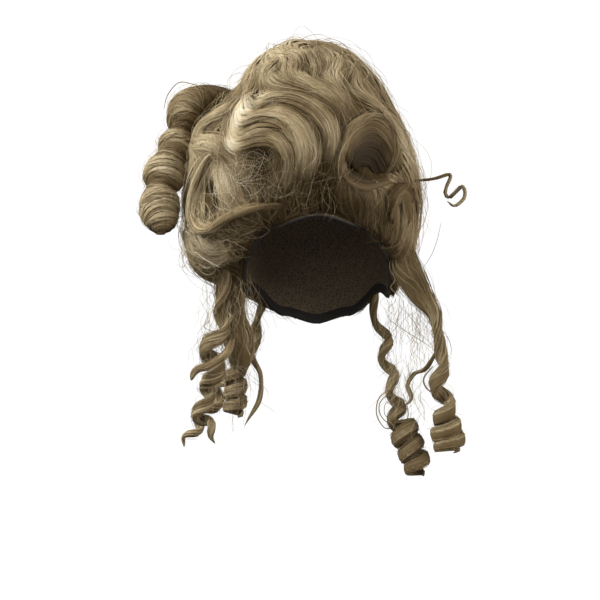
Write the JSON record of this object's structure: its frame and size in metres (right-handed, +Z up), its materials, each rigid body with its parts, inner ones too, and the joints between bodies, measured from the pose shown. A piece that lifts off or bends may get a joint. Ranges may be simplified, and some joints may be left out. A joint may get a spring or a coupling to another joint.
{
  "type": "wig",
  "caption": "Tall swept-up costume wig of waved ash-blonde hair on a net cap, with rolled curls on the front, a fat side curl and ringlets that hang beside the face.",
  "frame": {"origin": "the point inside the cap that the top of the head touches", "axes": "+Z up, the face opening looks along -Y, and +X is on the right of a viewer who faces it"},
  "size_m": [0.3198, 0.2614, 0.4345],
  "materials": {
    "hair": "combed and waved synthetic hair, ash blonde with darker roots",
    "cap_net": "fine stretch net",
    "edge_tape": "dark woven tape"
  },
  "bodies": {
    "root": {"wig_cap": "cap_net", "edge_band": "edge_tape", "crown_front": "hair", "crown_back": "hair", "barrel_curl_left": "hair", "loop_roll_left": "hair", "barrel_roll_right": "hair", "small_roll_right": "hair", "temple_lock_left": "hair", "ringlet_left_front": "hair", "ringlet_left_back": "hair", "ringlet_left_nape": "hair", "tendril_left": "hair", "flick_left": "hair", "ringlet_right_front": "hair", "ringlet_right_back": "hair", "tendril_right": "hair", "stray_curl_right": "hair"}
  },
  "joints": []
}
